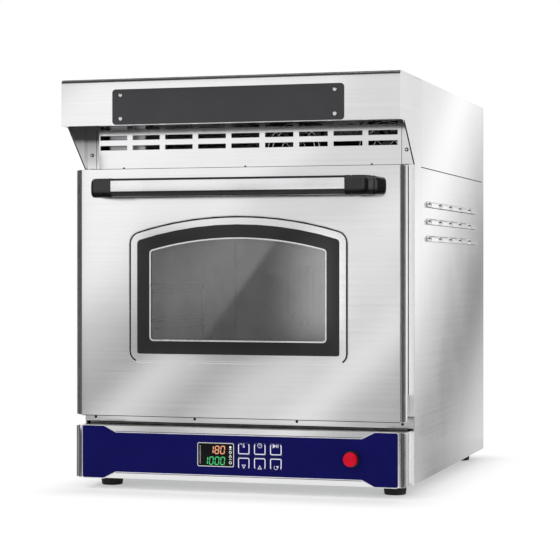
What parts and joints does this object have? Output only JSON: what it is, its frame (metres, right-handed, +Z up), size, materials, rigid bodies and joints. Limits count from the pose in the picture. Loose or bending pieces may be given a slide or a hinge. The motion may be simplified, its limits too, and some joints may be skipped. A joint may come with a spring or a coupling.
{
  "type": "countertop pizza oven",
  "caption": "Countertop pizza oven: steel body on short feet, hood over a vent grille, drop-down door with arched window and bar handle, control box with display, keys and push button.",
  "frame": {"origin": "bottom centre of the whole part's bounding box, on the table under the feet", "axes": "+X to the right seen from the front, +Y to the back, +Z up"},
  "size_m": [0.612, 0.789, 0.713],
  "materials": {
    "brushed_steel": "brushed stainless sheet",
    "liner_steel": "plain stainless sheet, dulled by heat",
    "dark_plate": "dark grey anodised plate",
    "black_plastic": "black moulded plastic",
    "rubber": "black rubber",
    "aluminium": "satin anodised aluminium",
    "black_enamel": "black printed enamel",
    "silver_print": "bright silver line",
    "tinted_glass": "tinted tempered glass",
    "clear_glass": "clear heat-proof glass",
    "navy_film": "navy printed film",
    "display_black": "black display window",
    "red_plastic": "red moulded plastic",
    "seal_grey": "grey woven heat seal",
    "mineral_board": "pale rigid mineral-fibre board",
    "cordierite": "pale baking stone",
    "heater_sheath": "dark oxidised steel sheath",
    "zinc_plate": "zinc-plated sheet",
    "chrome_wire": "chromed wire",
    "circuit_board": "green circuit board"
  },
  "bodies": {
    "oven_body": {"front_frame": "brushed_steel", "side_panel_left": "brushed_steel", "side_panel_right": "brushed_steel", "top_cover": "brushed_steel", "rear_panel": "brushed_steel", "visor_hood": "brushed_steel", "vent_grille": "brushed_steel", "lower_rail": "brushed_steel", "control_box": "brushed_steel", "cavity_liner": "liner_steel", "fan_baffle": "liner_steel", "temperature_probe": "liner_steel", "nameplate": "dark_plate", "cable_gland": "black_plastic", "button_collar": "black_plastic", "cooling_fan_1": "black_plastic", "cooling_fan_2": "black_plastic", "foot_front_left": "rubber", "foot_front_right": "rubber", "foot_rear_left": "rubber", "foot_rear_right": "rubber", "lamp_glass": "clear_glass", "control_film": "navy_film", "display": "display_black", "mouth_seal": "seal_grey", "insulation_jacket": "mineral_board", "baking_stone": "cordierite", "upper_heater": "heater_sheath", "lower_heater": "heater_sheath", "base_pan": "zinc_plate", "partition_deck": "zinc_plate", "hot_air_motor": "zinc_plate", "lamp_holder": "zinc_plate", "hinge_ear_left": "zinc_plate", "hinge_ear_right": "zinc_plate", "power_box": "zinc_plate", "rack_guide_left": "chrome_wire", "rack_guide_right": "chrome_wire", "control_board": "circuit_board"},
    "door": {"door_outer_skin": "brushed_steel", "door_inner_panel": "liner_steel", "outer_glass": "tinted_glass", "inner_glass": "clear_glass", "window_border": "black_enamel", "silver_line": "silver_print", "handle_bar": "aluminium", "handle_bracket_left": "black_plastic", "handle_bracket_right": "black_plastic", "hinge_arm_left": "zinc_plate", "hinge_arm_right": "zinc_plate"},
    "push_button": {"button_cap": "red_plastic"},
    "hot_air_wheel": {"hot_air_fan": "liner_steel"},
    "cooling_wheel_1": {"cooling_rotor_1": "black_plastic"},
    "cooling_wheel_2": {"cooling_rotor_2": "black_plastic"},
    "key_1_body": {"key_1": "navy_film"},
    "key_2_body": {"key_2": "navy_film"},
    "key_3_body": {"key_3": "navy_film"},
    "key_4_body": {"key_4": "navy_film"},
    "key_5_body": {"key_5": "navy_film"},
    "key_6_body": {"key_6": "navy_film"}
  },
  "joints": [
    {"name": "door_hinge", "type": "hinge", "parent": "oven_body", "child": "door", "pos_m": [0, -0.3065, 0.142], "axis": [1, 0, 0], "range_deg": [0, 90], "stiffness_Nm_per_rad": 5, "springref_deg": -28.65},
    {"name": "button_push", "type": "slide", "parent": "oven_body", "child": "push_button", "axis": [0, 1, 0], "range_m": [0, 0.004], "stiffness_N_per_m": 500},
    {"name": "key_1_press", "type": "slide", "parent": "oven_body", "child": "key_1_body", "axis": [0, 1, 0], "range_m": [0, 0.0005], "stiffness_N_per_m": 2000},
    {"name": "key_2_press", "type": "slide", "parent": "oven_body", "child": "key_2_body", "axis": [0, 1, 0], "range_m": [0, 0.0005], "stiffness_N_per_m": 2000},
    {"name": "key_3_press", "type": "slide", "parent": "oven_body", "child": "key_3_body", "axis": [0, 1, 0], "range_m": [0, 0.0005], "stiffness_N_per_m": 2000},
    {"name": "key_4_press", "type": "slide", "parent": "oven_body", "child": "key_4_body", "axis": [0, 1, 0], "range_m": [0, 0.0005], "stiffness_N_per_m": 2000},
    {"name": "key_5_press", "type": "slide", "parent": "oven_body", "child": "key_5_body", "axis": [0, 1, 0], "range_m": [0, 0.0005], "stiffness_N_per_m": 2000},
    {"name": "key_6_press", "type": "slide", "parent": "oven_body", "child": "key_6_body", "axis": [0, 1, 0], "range_m": [0, 0.0005], "stiffness_N_per_m": 2000},
    {"name": "hot_air_spin", "type": "hinge", "parent": "oven_body", "child": "hot_air_wheel", "pos_m": [0, 0.202, 0.331], "axis": [0, 1, 0], "continuous": true},
    {"name": "cooling_spin_1", "type": "hinge", "parent": "oven_body", "child": "cooling_wheel_1", "pos_m": [0.085, -0.2594, 0.591], "axis": [0, 1, 0], "continuous": true},
    {"name": "cooling_spin_2", "type": "hinge", "parent": "oven_body", "child": "cooling_wheel_2", "pos_m": [0.2485, -0.2594, 0.591], "axis": [0, 1, 0], "continuous": true}
  ]
}
